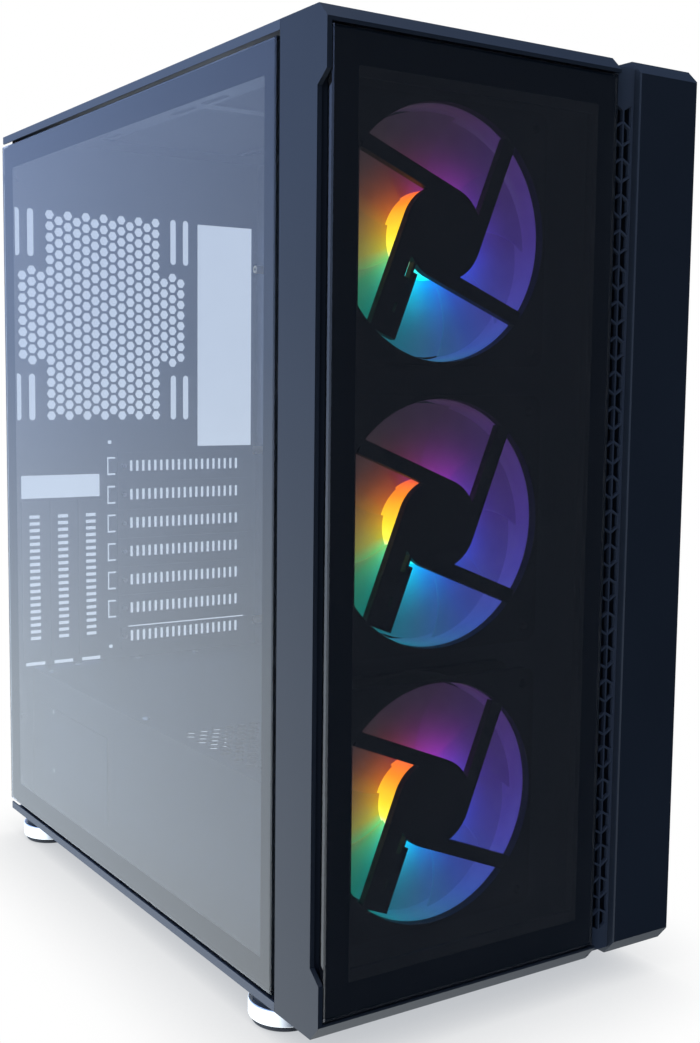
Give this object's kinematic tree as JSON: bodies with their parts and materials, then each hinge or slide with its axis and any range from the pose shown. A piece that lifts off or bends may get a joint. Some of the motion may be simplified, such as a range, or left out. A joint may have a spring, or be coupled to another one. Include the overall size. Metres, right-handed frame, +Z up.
{
  "type": "desktop computer tower",
  "caption": "Empty mid-tower computer case with a tinted glass front, a glass side panel, lit front fans, a perforated rear wall and round metal feet.",
  "frame": {"origin": "middle of the footprint on the plane under the feet", "axes": "+Z up, -Y to the front with the fans, -X to the glass side, +Y to the rear wall"},
  "size_m": [0.22, 0.412, 0.4717],
  "materials": {
    "case_steel": "matt black powder coat with a fine texture",
    "bezel_plastic": "satin black moulded plastic",
    "grille_plastic": "satin black",
    "tinted_glass": "smoked, polished",
    "side_glass": "lightly tinted, with a dark painted border",
    "foam": "closed-cell foam",
    "rubber": "matt black rubber",
    "fan_plastic": "fine matt black",
    "impeller_plastic": "frosted, lit from the hub",
    "copper_winding": "enamelled wire",
    "screw_steel": "zinc plated",
    "standoff_brass": "bare brass",
    "foot_metal": "satin silver",
    "tray_plastic": "moulded",
    "filter_mesh": "woven nylon in a plastic frame",
    "circuit_board": "solder mask",
    "lens": "frosted clear"
  },
  "bodies": {
    "chassis": {"chassis_floor": "case_steel", "chassis_roof": "case_steel", "chassis_rear_wall": "case_steel", "chassis_front_frame": "case_steel", "motherboard_tray": "case_steel", "motherboard_standoffs": "standoff_brass", "psu_shroud_top": "case_steel", "psu_shroud_side": "case_steel", "psu_shroud_plate": "case_steel", "psu_rest_pads": "foam", "cable_grommets": "rubber", "slot_cover_1": "case_steel", "slot_cover_2": "case_steel", "slot_cover_3": "case_steel", "slot_cover_4": "case_steel", "slot_cover_5": "case_steel", "slot_cover_6": "case_steel", "slot_cover_7": "case_steel", "vertical_slot_covers": "case_steel", "slot_clamp_strip": "case_steel", "slot_screws": "screw_steel", "drive_cage": "case_steel", "ssd_bracket": "case_steel", "fan_controller": "tray_plastic", "foot_rings": "foot_metal", "foot_cores": "fan_plastic", "foot_pads": "rubber", "foot_screws": "screw_steel", "io_strip": "bezel_plastic", "led_lens": "lens", "usb_ports": "screw_steel", "audio_jacks": "fan_plastic", "io_board": "circuit_board", "fan_frame_1": "fan_plastic", "fan_frame_2": "fan_plastic", "fan_frame_3": "fan_plastic", "fan_stators": "copper_winding", "fan_screws": "screw_steel"},
    "front_cover": {"front_bezel": "bezel_plastic", "bezel_pillar": "bezel_plastic", "groove_grille": "grille_plastic", "front_glass": "tinted_glass", "front_glass_spacers": "foam"},
    "left_panel": {"side_glass": "side_glass", "side_glass_carrier": "case_steel"},
    "right_panel": {"right_panel": "case_steel"},
    "top_filter": {"top_filter": "filter_mesh"},
    "bottom_filter": {"bottom_filter": "filter_mesh"},
    "drive_tray_lower": {"drive_tray_lower": "tray_plastic"},
    "drive_tray_upper": {"drive_tray_upper": "tray_plastic"},
    "power_button": {"power_button": "bezel_plastic"},
    "reset_button": {"reset_button": "bezel_plastic"},
    "impeller_1": {"fan_impeller_1": "impeller_plastic"},
    "impeller_2": {"fan_impeller_2": "impeller_plastic"},
    "impeller_3": {"fan_impeller_3": "impeller_plastic"},
    "thumbscrew_left_lower": {"thumbscrew_left_lower": "screw_steel"},
    "thumbscrew_left_upper": {"thumbscrew_left_upper": "screw_steel"},
    "thumbscrew_right_lower": {"thumbscrew_right_lower": "screw_steel"},
    "thumbscrew_right_upper": {"thumbscrew_right_upper": "screw_steel"}
  },
  "joints": [
    {"name": "front_cover_pull", "type": "slide", "parent": "chassis", "child": "front_cover", "axis": [0, -1, 0], "range_m": [0, 0.06]},
    {"name": "left_panel_slide", "type": "slide", "parent": "chassis", "child": "left_panel", "axis": [0, 1, 0], "range_m": [0, 0.4]},
    {"name": "right_panel_slide", "type": "slide", "parent": "chassis", "child": "right_panel", "axis": [0, 1, 0], "range_m": [0, 0.4]},
    {"name": "top_filter_lift", "type": "slide", "parent": "chassis", "child": "top_filter", "axis": [0, 0, 1], "range_m": [0, 0.05]},
    {"name": "bottom_filter_slide", "type": "slide", "parent": "chassis", "child": "bottom_filter", "axis": [0, 1, 0], "range_m": [0, 0.18]},
    {"name": "drive_tray_lower_slide", "type": "slide", "parent": "chassis", "child": "drive_tray_lower", "axis": [1, 0, 0], "range_m": [0, 0.026]},
    {"name": "drive_tray_upper_slide", "type": "slide", "parent": "chassis", "child": "drive_tray_upper", "axis": [1, 0, 0], "range_m": [0, 0.026]},
    {"name": "power_button_press", "type": "slide", "parent": "chassis", "child": "power_button", "axis": [0, 0, -1], "range_m": [0, 0.0015], "stiffness_N_per_m": 400, "springref_m": -0.001},
    {"name": "reset_button_press", "type": "slide", "parent": "chassis", "child": "reset_button", "axis": [0, 0, -1], "range_m": [0, 0.0015], "stiffness_N_per_m": 300, "springref_m": -0.001},
    {"name": "impeller_1_spin", "type": "hinge", "parent": "chassis", "child": "impeller_1", "pos_m": [-0.0378, -0.181, 0.3799], "axis": [0, 1, 0], "continuous": true},
    {"name": "impeller_2_spin", "type": "hinge", "parent": "chassis", "child": "impeller_2", "pos_m": [-0.0378, -0.181, 0.2461], "axis": [0, 1, 0], "continuous": true},
    {"name": "impeller_3_spin", "type": "hinge", "parent": "chassis", "child": "impeller_3", "pos_m": [-0.0378, -0.181, 0.1123], "axis": [0, 1, 0], "continuous": true},
    {"name": "thumbscrew_left_lower_turn", "type": "hinge", "parent": "left_panel", "child": "thumbscrew_left_lower", "pos_m": [-0.0995, 0.199, 0.08], "axis": [0, 1, 0], "continuous": true},
    {"name": "thumbscrew_left_upper_turn", "type": "hinge", "parent": "left_panel", "child": "thumbscrew_left_upper", "pos_m": [-0.0995, 0.199, 0.444], "axis": [0, 1, 0], "continuous": true},
    {"name": "thumbscrew_right_lower_turn", "type": "hinge", "parent": "right_panel", "child": "thumbscrew_right_lower", "pos_m": [0.0995, 0.199, 0.08], "axis": [0, 1, 0], "continuous": true},
    {"name": "thumbscrew_right_upper_turn", "type": "hinge", "parent": "right_panel", "child": "thumbscrew_right_upper", "pos_m": [0.0995, 0.199, 0.444], "axis": [0, 1, 0], "continuous": true}
  ]
}
